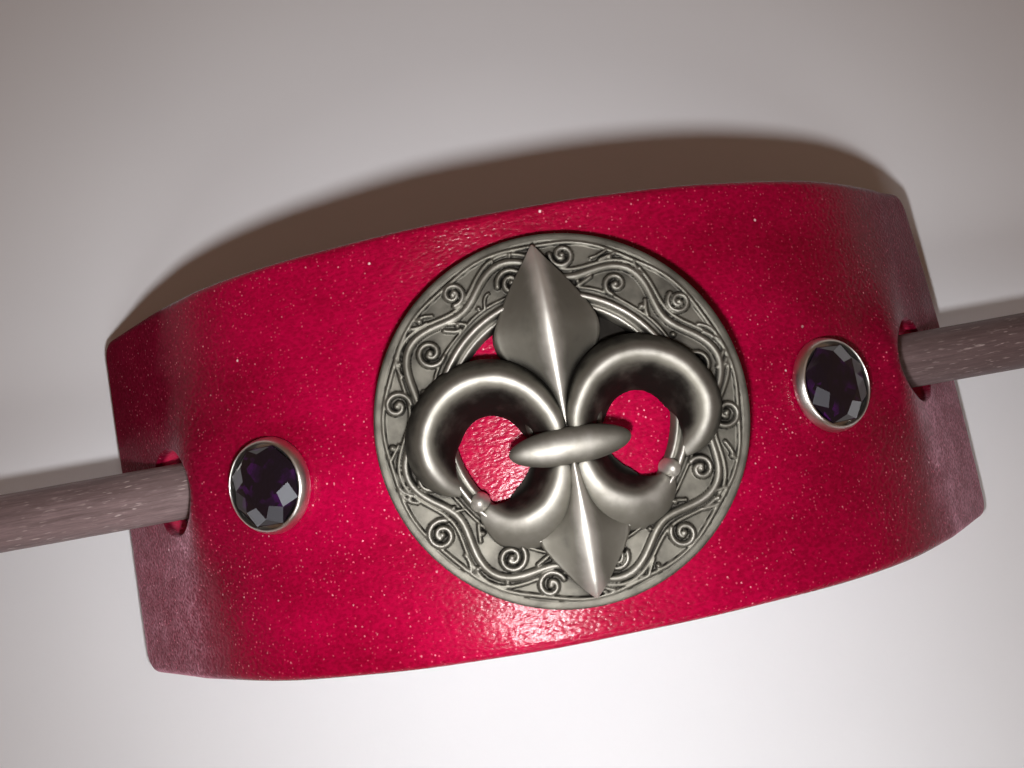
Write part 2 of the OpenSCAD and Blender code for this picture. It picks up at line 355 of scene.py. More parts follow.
def build_strap():
    """The arched strap: its outline and each hole carry loops of points down a rounded edge."""
    hole_list = [(-HOLE_S, 0, HOLE_R), (HOLE_S, 0, HOLE_R), (0, 0, BOSS_HOLE_R)]
    hole_list += [(s, RIVET_Y, RIVET_HOLE_R) for s in RIVET_S.values()]
    outline_edge = rounded_edge(1.0, 0.7, 6)
    hole_edge = rounded_edge(0.35, 0.3, 4)
    flat, faces, wall = [], [], []
    top_rings, bottom_rings = [], []

    def add_edge(ring_of, edge, rawness, outward):
        """Loops of points down one cut edge, which is raw leather halfway down."""
        start = len(flat)
        rings = [ring_of(inset) for inset, _ in edge]
        n = len(rings[0])
        for ring, (_, depth) in zip(rings, edge):
            flat.extend((p[0], p[1], depth) for p in ring)
            wall.extend([rawness * math.sin(math.pi * min(max(depth / STRAP_T, 0), 1))] * n)
        quads = tube_faces(len(rings), n, start)
        faces.extend(q[::-1] if outward else q for q in quads)
        top_rings.append((list(range(start, start + n)), rings[0]))
        last = start + (len(rings) - 1) * n
        bottom_rings.append((list(range(last, last + n)), rings[-1]))

    add_edge(rounded_rectangle, outline_edge, 0.5, True)
    for cx, cy, r in hole_list:
        count = 96 if r == HOLE_R else 40
        add_edge(lambda inset: circle_points(cx, cy, r + inset, count), hole_edge, 1.0, False)

    holes = [(cx, cy, r + 0.2) for cx, cy, r in hole_list]
    for rings, depth, spacing, up in ((top_rings, 0.0, 0.5, True), (bottom_rings, STRAP_T, 0.8, False)):
        grid, tris = fill([ring for _, ring in rings], holes, spacing)
        known = [i for indices, _ in rings for i in indices]
        known += range(len(flat), len(flat) + len(grid))
        flat.extend((p[0], p[1], depth) for p in grid)
        wall.extend([0.0] * len(grid))
        for tri in tris:
            face = tuple(known[i] for i in tri)
            faces.append(face if up else face[::-1])

    flat = np.array(flat)
    points = uneven(give_way(on_leather(flat), flat), flat)
    points[:, 2] = np.maximum(points[:, 2], 0.0)
    strap = mesh_object("leather_strap", points, faces, 60,
                        flesh=flat[:, 2] / STRAP_T, wall=wall, along=flat[:, 0] * MM)
    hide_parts("strap")
    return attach(strap, "strap")


# ---------- stick ----------

def build_stick():
    """A round stick with a domed end at -X and a short taper at +X."""
    tip_r, taper = 1.8, 24.0
    stations = []
    for a in np.linspace(0, math.pi / 2, 10)[1:]:
        stations.append((-STICK_HALF_LEN + STICK_R * (1 - math.cos(a)), STICK_R * math.sin(a)))
    body_end = STICK_HALF_LEN - taper
    for x in np.linspace(-STICK_HALF_LEN + STICK_R, body_end, 240)[1:]:
        stations.append((x, STICK_R))
    for x in np.linspace(body_end, STICK_HALF_LEN - tip_r, 50)[1:]:
        f = (x - body_end) / (taper - tip_r)
        stations.append((x, STICK_R + (tip_r - STICK_R) * f * f * (1.6 - 0.6 * f)))
    for a in np.linspace(0, math.pi / 2, 8)[1:-1]:
        stations.append((STICK_HALF_LEN - tip_r * (1 - math.sin(a)), tip_r * math.cos(a)))
    profile = [(0, -STICK_HALF_LEN)] + [(r, x) for x, r in stations] + [(0, STICK_HALF_LEN)]
    verts, faces = lathe(profile, 96)
    turn = np.arctan2(verts[:, 1], verts[:, 0])
    x = verts[:, 2]
    ripple = (0.018 * np.sin(turn * 9 + x / 11) + 0.012 * np.sin(turn * 23 - x / 17 + 1.0)
              + 0.03 * np.sin(x / 13 + turn))
    radius = np.hypot(verts[:, 0], verts[:, 1])
    scale = 1 - np.where(radius > 1, np.abs(ripple) / np.maximum(radius, 1), 0)
    points = np.stack([x, verts[:, 1] * scale, STICK_Z - verts[:, 0] * scale], axis=1)
    stick = mesh_object("hair_stick_wood", points, faces)
    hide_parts("hair_stick")
    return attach(stick, "stick")


# ---------- concho ----------
# The concho's plan is written in radii: 1 is its outer edge. Its heights are millimetres above its back.

def spiral(cx, cy, radius, start, turns, hand):
    """A spiral that winds in from its rim to a quarter of its radius."""
    t = np.linspace(0, 1, int(30 * turns) + 8)
    a = start + hand * t * turns * 2 * math.pi
    r = radius * (1 - 0.75 * t)
    return np.stack([cx + r * np.cos(a), cy + r * np.sin(a)], axis=1)


def polar(radius, turn):
    """Points (x, y) from radii and angles."""
    return np.stack([radius * np.cos(turn), radius * np.sin(turn)], axis=1)


def stroke(rho_from, rho_to, turn_from, turn_to, bow):
    """A bowed stroke across the ring, for leaves and fronds."""
    t = np.linspace(0, 1, 14)
    rho = rho_from + (rho_to - rho_from) * t + bow * np.sin(math.pi * t)
    return polar(rho, turn_from + (turn_to - turn_from) * t)


def scroll_wires():
    """The raised lines of the ring's vine: (points, half width, height), in radii and millimetres.
    A wavy stem runs round the ring, with a spiral in each of its bays and leaves beside them."""
    rng = random.Random(11)
    wires = []
    whole = np.linspace(0, 2 * math.pi, 500)
    stem = 0.824 + 0.062 * np.sin(VINE_WAVES * whole) + 0.01 * np.sin(3 * whole + 1)
    wires.append((polar(stem, whole), 0.026, 0.42))
    wires.append((polar(stem + 0.042 + 0.008 * np.sin(5 * whole), whole), 0.014, 0.26))
    wires.append((polar(0.944 + 0.008 * np.sin(11 * whole), whole), 0.015, 0.28))
    wires.append((polar(0.706 + 0.004 * np.sin(13 * whole), whole), 0.013, 0.22))
    bay = math.pi / VINE_WAVES
    for k in range(2 * VINE_WAVES):
        inside = k % 2 == 0
        hand = -1 if inside else 1
        mid = (k + 0.5 + rng.uniform(-0.15, 0.15)) * bay
        rho = (0.772 if inside else 0.878) + rng.uniform(-0.01, 0.01)
        size = rng.uniform(0.062, 0.08)
        cx, cy = rho * math.cos(mid), rho * math.sin(mid)
        scroll = spiral(cx, cy, size, mid + rng.uniform(1.5, 4.5), rng.uniform(1.1, 1.6), hand)
        wires.append((scroll, 0.019, 0.48))
        wires.append((np.array([[cx, cy]] * 2), 0.024, 0.52))
        far_rho = 0.715 if inside else 0.935
        for step in (0.46, 0.6, 0.72)[:rng.choice((2, 3, 3))]:
            way = rng.choice((-1, 1))
            lean = mid + way * step * bay
            leaf = stroke(rho, far_rho, lean, lean + way * 0.2 * bay, rng.uniform(-0.015, 0.015))
            wires.append((leaf, rng.uniform(0.011, 0.016), 0.34))
        for way in (-1, 1):
            bead = mid + way * rng.uniform(0.6, 0.8) * bay
            bead_rho = rng.uniform(0.725, 0.745) if inside else rng.uniform(0.905, 0.925)
            b = bead_rho * np.array([math.cos(bead), math.sin(bead)])
            wires.append((np.array([b, b]), rng.uniform(0.014, 0.022), 0.42))
    return wires


def relief(points, wires):
    """Height of the raised lines at each (x, y) point."""
    height = np.zeros(len(points))
    for line, half_w, top in wires:
        low, high = line.min(0) - half_w, line.max(0) + half_w
        near = np.where(((points > low) & (points < high)).all(1))[0]
        p = points[near]
        best = np.full(len(near), 1e9)
        for a, b in zip(line[:-1], line[1:]):
            d = b - a
            t = np.clip(((p - a) @ d) / max(d @ d, 1e-12), 0, 1)
            best = np.minimum(best, np.hypot(*(p - a - t[:, None] * d).T))
        rounded = top * (1 - np.clip(best / half_w, 0, 1) ** 2) ** 1.1
        height[near] = np.maximum(height[near], rounded)
    return height


def ring_shell():
    """The ring: a plain ledge at the rim, a bed with the raised vine and a stepped bevel at the opening."""
    ledge_in, bed_in = 0.962, 0.682
    rows = [(0.99, 0.0, 0), (1.0, 0.2, 0), (1.0, 0.95, 0), (0.997, 1.04, 0), (0.99, 1.08, 0)]
    for rho in np.arange(0.984, bed_in, -0.0058):
        on_bed = float(smooth_step(ledge_in - rho, 0, 0.012))
        z = 1.1 - 0.16 * on_bed + 0.5 * (ledge_in - rho) * on_bed
        rows.append((rho, z, on_bed * float(smooth_step(rho, 0.69, 0.703))))
    rows += [(0.677, 1.2, 0), (0.67, 1.48, 0), (0.662, 1.66, 0), (0.655, 1.72, 0), (0.648, 1.68, 0),
             (0.64, 1.5, 0), (0.632, 1.26, 0), (0.624, 1.16, 0), (0.616, 1.2, 0), (0.609, 1.22, 0),
             (0.602, 1.12, 0), (0.594, 0.85, 0), (0.586, 0.5, 0), (0.582, 0.2, 0), (0.59, 0.0, 0)]
    segments = 960
    turn = np.linspace(0, 2 * math.pi, segments, endpoint=False)
    rho, z, vine = (np.array(column)[:, None] for column in zip(*rows))
    x, y = rho * np.cos(turn), rho * np.sin(turn)
    flat = np.stack([x.ravel(), y.ravel()], axis=1)
    raised = relief(flat, scroll_wires()).reshape(x.shape) * vine
    verts = np.stack([x * CONCHO_R, y * CONCHO_R, z + raised], axis=-1).reshape(-1, 3)
    faces = tube_faces(len(rows), segments) + closing_faces(len(rows), segments)
    crest = np.exp(-((rho - 0.657) / 0.012) ** 2) + 0.7 * np.exp(-((rho - 0.609) / 0.01) ** 2)
    flank = vine * np.exp(-((raised - 0.09) / 0.05) ** 2)
    wear = np.clip(0.26 + 0.6 * crest + 0.6 * raised - 0.3 * flank, 0, 1)
    return verts, faces, wear.ravel()


def ridge_section(offset, top, steep_out, steep_in, edge_z):
    """Heights across a bar whose rounded ridge lies at offset 0, in millimetres."""
    steep = np.where(offset > 0, steep_out, steep_in)
    fall = steep * (np.hypot(offset, RIDGE_ROUND) - RIDGE_ROUND)
    return np.maximum(top - fall, edge_z)


def petal_shell(stations):
    """A petal along Y from (y, half width, ridge height, edge height) stations."""
    side = np.array([0.0, 0.03, 0.07, 0.12, 0.2, 0.32, 0.46, 0.6, 0.74, 0.86, 0.95, 1.0])
    u = np.concatenate([-side[:0:-1], side])
    sections, wear = [], []
    for y, half_w, ridge, edge in smooth_path(stations, 70):
        half_w = max(half_w, 0.006) * CONCHO_R
        x = u * half_w
        away = (np.hypot(u, 0.25) - 0.25) / (math.hypot(1, 0.25) - 0.25)
        roof = edge + (ridge - edge) * (1 - away) ** 1.2
        z = roof + 0.4 * np.exp(-(x / 0.9) ** 2) * min(half_w / 1.5, 1)
        skirt = half_w + 0.25
        section = [(-skirt, 0.1)] + list(zip(x, z)) + [(skirt, 0.1)]
        sections.append([(a, y * CONCHO_R, b) for a, b in section])
        bright = 0.7 * np.exp(-(x / 1.0) ** 2) + 0.2 * np.abs(u) ** 2 * min(half_w / 4, 1) + 0.26
        wear.extend([0.1] + list(bright) + [0.1])
    verts, faces = loft(sections)
    return verts, faces, np.clip(wear, 0, 1)


def scroll_shell(path, stations, steep_out, steep_in, out_wear, count=110):
    """A bent bar with a worn ridge along the path; stations are (outer width, inner width, ridge height)."""
    line = smooth_path(path, count) * CONCHO_R
    tangent = np.gradient(line, axis=0)
    tangent /= np.linalg.norm(tangent, axis=1)[:, None]
    outwards = np.stack([-tangent[:, 1], tangent[:, 0]], axis=1)
    share = np.array([1.0, 0.9, 0.78, 0.66, 0.54, 0.43, 0.33, 0.24, 0.16, 0.08, 0.0])
    sections, wear = [], []
    for p, across, (w_out, w_in, top) in zip(line, outwards, smooth_path(stations, count)):
        offset = np.concatenate([share * w_out, -share[-2::-1] * w_in]) * CONCHO_R
        z = ridge_section(offset, top, steep_out, steep_in, 0.3)
        offset = np.concatenate([[offset[0]], offset, [offset[-1]]])
        z = np.concatenate([[0.1], z, [0.1]])
        sections.append([(*(p + across * o), b) for o, b in zip(offset, z)])
        low = np.where(offset > 0, out_wear, 0.02)
        wear.extend(low + (0.62 - low) * np.exp(-(offset / 0.85) ** 2))
    verts, faces = loft(sections)
    return verts, [f[::-1] for f in faces], np.clip(wear, 0, 1)


def band_shell():
    """The band round the flower's waist, a long flattened bead."""
    half_len, half_w, top = 0.32 * CONCHO_R, 0.1 * CONCHO_R, 4.75
    profile = [(0, -half_len)]
    profile += [(half_w * math.cos(a), half_len * math.sin(a)) for a in np.linspace(-1.5, 1.5, 48)]
    profile += [(0, half_len)]
    verts, faces = lathe(profile, 56)
    points = np.stack([verts[:, 2], -0.155 * CONCHO_R + verts[:, 1], top - half_w - verts[:, 0]], axis=1)
    wear = np.clip(0.25 + 0.35 * (points[:, 2] - top + half_w) / half_w, 0.1, 1)
    return points, faces, wear


def knob_shell(x, y, radius, top):
    """A small worn knob where a volute meets the ring."""
    foot = 0.3
    dome = [(radius * math.cos(a), foot + (top - foot) * math.sin(a)) for a in np.linspace(0, 1.5, 12)]
    verts, faces = lathe([(0, foot)] + dome + [(0, top)], 28)
    return verts + (x * CONCHO_R, y * CONCHO_R, 0), faces, np.full(len(verts), 0.85)


def shade_plate_shell(corners, top):
    """A thin plate between neighbouring parts of the flower, kept dark as painted shade over the opening
    there, from its corners in plan.
    """
    base = [(x * CONCHO_R, y * CONCHO_R, 0.15) for x, y in corners]
    verts, faces = loft([base, [(x, y, top) for x, y, _ in base]])
    # Zero keeps the plate at the darkest colour, as painted shade.
    return verts, faces, [0.0] * len(verts)


def flower_petals():
    """The flower's tall upper petal and its short lower one."""
    upper = petal_shell([
        (0.93, 0.008, 2.1, 1.75), (0.86, 0.055, 2.6, 1.75), (0.76, 0.13, 3.2, 1.7),
        (0.66, 0.195, 3.7, 1.65), (0.56, 0.252, 4.0, 1.6), (0.48, 0.28, 4.05, 1.5),
        (0.4, 0.27, 3.95, 1.3), (0.31, 0.225, 3.75, 1.2), (0.2, 0.16, 3.4, 1.2),
        (0.08, 0.1, 3.0, 1.2), (-0.12, 0.06, 2.6, 1.3)])
    lower = petal_shell([
        (-0.16, 0.055, 3.5, 1.7), (-0.28, 0.075, 3.5, 1.5), (-0.38, 0.105, 3.5, 1.45),
        (-0.48, 0.155, 3.5, 1.5), (-0.56, 0.208, 3.45, 1.6), (-0.62, 0.235, 3.35, 1.7),
        (-0.7, 0.2, 3.05, 1.75), (-0.8, 0.13, 2.65, 1.75), (-0.88, 0.07, 2.3, 1.7),
        (-0.945, 0.008, 1.9, 1.6)])
    return upper, lower


def flower_scrolls():
    """One of the flower's two volutes and one of the two strands that curl out below its band."""
    volute = scroll_shell(
        [(0.04, -0.15), (0.055, -0.02), (0.1, 0.085), (0.175, 0.178), (0.285, 0.243),
         (0.405, 0.262), (0.53, 0.235), (0.64, 0.16), (0.71, 0.055), (0.735, -0.04),
         (0.72, -0.14), (0.665, -0.235), (0.59, -0.305)],
        [(0.04, 0.13, 3.5), (0.05, 0.165, 3.8), (0.07, 0.175, 4.0), (0.09, 0.18, 4.2),
         (0.11, 0.185, 4.3), (0.115, 0.185, 4.35), (0.115, 0.185, 4.35), (0.115, 0.185, 4.35),
         (0.115, 0.18, 4.3), (0.11, 0.17, 4.2), (0.1, 0.14, 3.8), (0.07, 0.08, 2.8),
         (0.02, 0.015, 1.4)],
        3.75, 2.45, 0.1)
    strand = scroll_shell(
        [(-0.04, -0.13), (-0.06, -0.24), (-0.1, -0.35), (-0.175, -0.435), (-0.28, -0.482),
         (-0.375, -0.48), (-0.455, -0.435), (-0.505, -0.375)],
        [(0.05, 0.12, 3.3), (0.08, 0.15, 3.5), (0.12, 0.165, 3.5), (0.17, 0.165, 3.3),
         (0.185, 0.15, 2.95), (0.15, 0.12, 2.45), (0.08, 0.06, 1.9), (0.015, 0.015, 1.3)],
        1.2, 2.9, 0.42, 80)
    return volute, strand


def hub_shell():
    """The plate behind the flower and the boss under it, with a low rim round the screw's hole."""
    verts, faces = lathe([(0, -2.2), (0.01, -2.2), (2.09, -2.2), (2.09, -2.5), (2.7, -2.5), (3.0, -2.2),
                          (3.0, 0.0), (3.6, 0.05), (3.6, 1.4), (3.2, 1.7), (0, 1.7)], 64)
    return verts, faces, [0.15] * len(verts)


def build_concho():
    """One casting: ring, petals, volutes, strands, knobs, a dark plate of painted shade, band and the boss
    behind them.
    """
    shells = Shells()
    shells.add(*ring_shell())
    for petal in flower_petals():
        shells.add(*petal)
    for scroll in flower_scrolls():
        shells.add_mirrored(*scroll)
    shells.add_mirrored(*knob_shell(0.51, -0.365, 1.0, 2.6))
    # Painted shade: a dark plate over the shaded opening beside the upper petal.
    shells.add(*shade_plate_shell([(0.2, 0.3), (0.46, 0.3), (0.52, 0.4), (0.4, 0.52), (0.24, 0.62)], 0.3))
    shells.add(*band_shell())
    shells.add(*hub_shell())
    points = np.array(shells.verts) + (0, 0, CONCHO_Z)
    concho = mesh_object("concho_casting", points, shells.faces, 80, wear=shells.wear)
    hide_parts("concho")
    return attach(concho, "concho")


# ---------- crystal rivets ----------

def to_arch(points, side):
    """Moves points from a frame on the strap's outer face, Z outwards, to a rivet's place on the arch."""
    a = RIVET_S[side] / ARCH_R
    turn = np.array([[math.cos(a), 0, math.sin(a)], [0, 1, 0], [-math.sin(a), 0, math.cos(a)]])
    return (points + (0, RIVET_Y, ARCH_R)) @ turn.T + (0, 0, CROWN_Z - ARCH_R)


def build_cup(side):
    """The crystal's cup: a low wall that rolls in over the crystal's edge as a bright bezel."""
    loop = [(1.55, 0.03), (4.6, 0.03), (4.82, 0.08), (4.89, 0.18), (4.88, 0.34), (4.83, 0.55), (4.75, 0.77),
            (4.65, 0.98), (4.54, 1.16), (4.43, 1.28), (4.34, 1.31), (4.28, 1.25), (4.25, 1.12), (4.25, 0.9),
            (4.25, 0.45), (1.55, 0.4)]
    verts, faces = ring_lathe(loop, 128)
    cup = mesh_object(side + "_crystal_bezel", to_arch(verts, side), faces, 60)
    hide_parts(side + "_crystal_cup")
    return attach(cup, "strap")


def build_crystal(side):
    """A cut crystal: an eight-sided table, stars and kites down to a thin girdle, and a low pointed back."""
    levels = [(2.15, 1.86, 0.5), (3.25, 1.6, 0.0), (4.2, 1.14, 0.5), (4.2, 1.0, 0.5)]
    verts = []
    for radius, z, shift in levels:
        for i in range(FACETS):
            a = 2 * math.pi * (i + shift) / FACETS
            verts.append((radius * math.cos(a), radius * math.sin(a), z))
    verts.append((0, 0, 0.7))
    tip = len(verts) - 1
    table, star, rim, girdle = (level * FACETS for level in range(len(levels)))
    faces = [tuple(range(FACETS))]
    # Each face's painted reflection: a grey tint on the listed kite facets.
    painted_reflection = [0.0]
    for i in range(FACETS):
        following = (i + 1) % FACETS
        previous = (i - 1) % FACETS
        faces.append((table + previous, star + i, table + i))
        faces.append((table + i, star + i, rim + i, star + following))
        faces.append((rim + previous, rim + i, star + i))
        faces.append((rim + i, girdle + i, girdle + following, rim + following))
        faces.append((girdle + i, tip, girdle + following))
        painted_reflection += [0.0, KITE_PAINTED_REFLECTION[side].get(i, 0.0), 0.0, 0.0, 0.0]
    crystal = mesh_object(side + "_crystal_gem", to_arch(np.array(verts, float), side), faces, 5)
    layer = crystal.data.attributes.new("painted_reflection", "FLOAT", "FACE")
    layer.data.foreach_set("value", np.array(painted_reflection, np.float32))
    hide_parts(side + "_crystal")
    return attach(crystal, "strap")


# ---------- materials ----------

class Nodes:
    """A short way to write a node tree."""

    def __init__(self, name):
        self.material = bpy.data.materials.new(name)
        self.material.use_nodes = True
        self.tree = self.material.node_tree
        self.shader = self.tree.nodes["Principled BSDF"]

    def add(self, kind, inputs=None, **settings):
        """A new node with its settings and the values or links of its inputs."""
        node = self.tree.nodes.new(kind)
        for key, value in settings.items():
            setattr(node, key, value)
        for key, value in (inputs or {}).items():
            self.put(node.inputs[key], value)
        return node

    def put(self, socket, value):
        """Links a socket to a value that is itself a socket, or sets it to a plain one."""
        if isinstance(value, bpy.types.NodeSocket):
            self.tree.links.new(value, socket)
        else:
            socket.default_value = value

    def math(self, kind, a, b=0.0, clamp=False):
        return self.add("ShaderNodeMath", {0: a, 1: b}, operation=kind, use_clamp=clamp).outputs[0]

    def times(self, first, *others):
        """The product of two or more values."""
        for other in others:
            first = self.math("MULTIPLY", first, other)
        return first

    def mix(self, factor, a, b):
        """Colour a at factor 0 and colour b at factor 1."""
        node = self.add("ShaderNodeMix", data_type="RGBA")
        self.put(node.inputs[0], factor)
        self.put(node.inputs[6], a)
        self.put(node.inputs[7], b)
        return node.outputs[2]

    def ramp(self, value, low, high, out_low=0.0, out_high=1.0):
        """An S-curve from out_low where the value is low to out_high where it is high."""
        node = self.add("ShaderNodeMapRange", {"From Min": low, "From Max": high, "To Min": out_low,
                                               "To Max": out_high}, interpolation_type="SMOOTHSTEP")
        self.put(node.inputs["Value"], value)
        return node.outputs["Result"]

    def coordinates(self, scale=(1, 1, 1)):
        """The object's own coordinates in metres, scaled along each axis."""
        place = self.add("ShaderNodeTexCoord").outputs["Object"]
        return self.add("ShaderNodeMapping", {"Vector": place, "Scale": scale}).outputs["Vector"]

    def noise(self, scale, detail, stretch=(1, 1, 1), roughness=0.5):
        """Noise from 0 to 1 whose pattern is drawn out along an axis where stretch is below 1."""
        return self.add("ShaderNodeTexNoise", {"Vector": self.coordinates(stretch), "Scale": scale,
                                               "Detail": detail, "Roughness": roughness}).outputs["Fac"]

    def attribute(self, name):
        return self.add("ShaderNodeAttribute", attribute_name=name).outputs["Fac"]

    def bump(self, height, distance, strength):
        inputs = {"Height": height, "Distance": distance, "Strength": strength}
        return self.add("ShaderNodeBump", inputs).outputs["Normal"]

    def finish(self, **inputs):
        """Fills the shader's inputs, whose names have _ for a space, and returns the material."""
        for key, value in inputs.items():
            self.put(self.shader.inputs[key.replace("_", " ")], value)
        return self.material


def speckle(n, scale, share, full, gone):
    """Dots in the cells of a pattern whose random value is above share, fading from radius full to gone."""
    cells = n.add("ShaderNodeTexVoronoi", {"Vector": n.coordinates(), "Scale": float(scale)})
    tint = n.add("ShaderNodeSeparateColor", {"Color": cells.outputs["Color"]}).outputs
    picked = n.math("GREATER_THAN", tint[0], share)
    dot = n.ramp(cells.outputs["Distance"], full, gone, 1, 0)
    return n.times(dot, picked, n.ramp(tint[1], 0, 1, 0.25, 1))


def leather_grain(n):
    """The height of the grain side's pebbles and fine creases."""
    pebble = n.add("ShaderNodeTexVoronoi", {"Vector": n.coordinates((0.7, 1, 1)), "Scale": 3100.0},
                   feature="SMOOTH_F1").outputs["Distance"]
    creases = n.noise(3300, 3, (0.45, 1, 1))
    return n.math("ADD", n.times(pebble, 0.55), n.times(creases, 0.75))


def leather_dye_and_painted_shade(n, x, along, grain, mottle):
    """The strap's colour: crimson dye in streaks along it, with scattered specks, its grain darker in the
    hollows and lighter on the tops. It is darker at the ends, and darker on the right as painted shade.
    """
    streaks = n.noise(120, 3, (0.3, 1, 1))
    tone = n.math("ADD", n.times(mottle, 0.35), n.times(streaks, 0.65))
    dye_and_shade = n.mix(n.ramp(tone, 0.3, 0.66), (0.25, 0.0002, 0.018, 1), (0.45, 0.0003, 0.044, 1))
    # Painted shade: the colour darkens towards the right.
    dye_and_shade = n.mix(n.ramp(x, -0.03, 0.05, 0, 0.5), dye_and_shade, (0.16, 0.0002, 0.010, 1))
    dye_and_shade = n.mix(n.times(n.ramp(along, 0.028, 0.046), 0.75), dye_and_shade, (0.13, 0.0015, 0.016, 1))
    hollows = n.mix(0.28, dye_and_shade, (0.02, 0.0, 0.003, 1))
    tops = n.mix(0.12, dye_and_shade, (0.8, 0.004, 0.1, 1))
    dye_and_shade = n.mix(n.times(n.ramp(grain, 0.42, 0.8), 0.55), hollows, tops)
    strewn = n.ramp(n.noise(45, 3), 0.35, 0.65, 0.35, 1.0)
    dye_and_shade = n.mix(n.times(speckle(n, 2600, 0.66, 0.12, 0.34), strewn), dye_and_shade, (0.7, 0.1, 0.17, 1))
    dye_and_shade = n.mix(n.times(speckle(n, 1500, 0.68, 0.07, 0.2), strewn), dye_and_shade, (0.8, 0.3, 0.36, 1))
    dye_and_shade = n.mix(speckle(n, 640, 0.95, 0.05, 0.12), dye_and_shade, (0.9, 0.62, 0.65, 1))
    return n.mix(speckle(n, 210, 0.975, 0.04, 0.07), dye_and_shade, (0.03, 0.0005, 0.003, 1))


def leather_bloom(n, x, along, grain, flexed, open_ends):
    """How strong the matt bloom on the flexed ends is: most beside the bend, and less on the right."""
    return n.times(flexed, n.ramp(n.noise(420, 4), 0.3, 0.7, 0.28, 0.56), open_ends,
                   n.ramp(along, 0.045, 0.052, 1.35, 0.9), n.ramp(x, -0.01, 0.01, 1.0, 0.8),
                   n.ramp(grain, 0.4, 0.85, 0.45, 1.5))


def leather_material():
    """Dyed grain side, darker on the right as painted shade, raw cut edges and suede flesh side, with a matt
    bloom on the near half of the ends.
    """
    n = Nodes("crimson_leather")
    flesh = n.attribute("flesh")
    wall = n.attribute("wall")
    place = n.add("ShaderNodeSeparateXYZ", {"Vector": n.coordinates()}).outputs
    along = n.math("ABSOLUTE", n.attribute("along"))
    along = n.math("ADD", along, n.times(n.math("SUBTRACT", n.noise(300, 3), 0.5), 0.005))
    along = n.math("ADD", along, n.ramp(place[0], -0.01, 0.01, 0.0, -0.0013))
    flexed = n.ramp(along, 0.038, 0.047)
    mottle = n.noise(90, 4)
    grain = leather_grain(n)

    # The grain side's colour carries painted shade on the right.
    dye_and_shade = leather_dye_and_painted_shade(n, place[0], along, grain, mottle)
    raw = n.mix(n.noise(900, 3), (0.62, 0.002, 0.05, 1), (0.8, 0.05, 0.14, 1))
    suede = n.mix(n.noise(500, 5), (0.16, 0.012, 0.028, 1), (0.3, 0.05, 0.075, 1))
    inner = n.ramp(flesh, 0.85, 0.97)
    colour = n.mix(inner, n.mix(n.ramp(wall, 0.4, 0.8), dye_and_shade, raw), suede)

    far_half = n.ramp(place[1], -0.010, 0.010)
    shut = n.times(far_half, n.ramp(place[0], -0.01, 0.01, 0.97, 0.8))
    open_ends = n.math("SUBTRACT", 1.0, shut)
    gloss = n.ramp(n.times(flexed, shut), 0.0, 1.0, 0.22, 0.0)
    rough = n.math("ADD", 0.2, n.times(mottle, 0.12))
    rough = n.math("ADD", rough, n.times(flexed, open_ends, 0.25))
    rough = n.math("ADD", rough, n.times(inner, 0.45), True)
    height = n.math("ADD", grain, n.times(n.noise(4200, 4), flesh, 2.0))
    return n.finish(Base_Color=colour, Roughness=rough, Normal=n.bump(height, 0.0001, 0.75),
                    Specular_IOR_Level=gloss, Sheen_Roughness=0.45, Sheen_Tint=(1.0, 0.54, 0.68, 1),
                    Sheen_Weight=leather_bloom(n, place[0], along, grain, flexed, open_ends))


def silver_material():
    """Antiqued silver, worn bright on its ridges and dark in its hollows."""
    n = Nodes("antique_silver")
    # The attribute read here, and the worn tone made from it, also carry painted shade: the dark plate has
    # zero and comes out darkest.
    wear = n.attribute("wear")
    hollow = n.add("ShaderNodeAmbientOcclusion", {"Distance": 0.0012}, samples=8).outputs["AO"]
    cloud = n.math("SUBTRACT", n.noise(420, 4), 0.5)
    worn = n.math("ADD", wear, n.times(cloud, 0.45))
    bright = n.math("MULTIPLY", worn, n.ramp(hollow, 0.3, 0.9), True)
    colour = n.mix(n.ramp(bright, 0.0, 0.35), (0.02, 0.018, 0.016, 1), (0.2, 0.19, 0.162, 1))
    colour = n.mix(n.ramp(bright, 0.35, 1.0), colour, (0.66, 0.64, 0.595, 1))
    rough = n.math("SUBTRACT", 0.67, n.times(bright, 0.1))
    normal = n.bump(n.noise(1300, 4), 0.00003, 0.5)
    return n.finish(Base_Color=colour, Metallic=1.0, Roughness=rough, Normal=normal)


def polished_material(name, colour, roughness):
    """A polished metal with faint smears."""
    n = Nodes(name)
    smear = n.noise(800, 3)
    tint = n.mix(smear, tuple(0.86 * c for c in colour) + (1,), tuple(colour) + (1,))
    rough = n.math("ADD", roughness, n.times(smear, 0.08))
    normal = n.bump(n.noise(1800, 3), 0.00002, 0.4)
    return n.finish(Base_Color=tint, Metallic=1.0, Roughness=rough, Normal=normal)


def crystal_material():
    """Dark glass, with painted purple sparkle inside and painted grey reflections of the room on a few
    facets.
    """
    n = Nodes("purple_crystal")
    # Painted sparkle: purple spots in the crystal's colour.
    painted_glints = n.add("ShaderNodeTexVoronoi", {"Vector": n.coordinates(), "Scale": 1150.0})
    tint = n.add("ShaderNodeSeparateColor", {"Color": painted_glints.outputs["Color"]}).outputs
    glow = n.times(n.ramp(tint[1], 0.55, 1.0), n.ramp(n.noise(330, 3), 0.42, 0.66))
    colour = n.mix(glow, (0.005, 0.003, 0.007, 1), (0.035, 0.004, 0.055, 1))
    # Painted reflection: the listed kite facets turn grey.
    colour = n.mix(n.attribute("painted_reflection"), colour, (0.17, 0.18, 0.2, 1))
    return n.finish(Base_Color=colour, Roughness=0.06, IOR=1.6, Coat_Weight=0.5, Coat_Roughness=0.03)


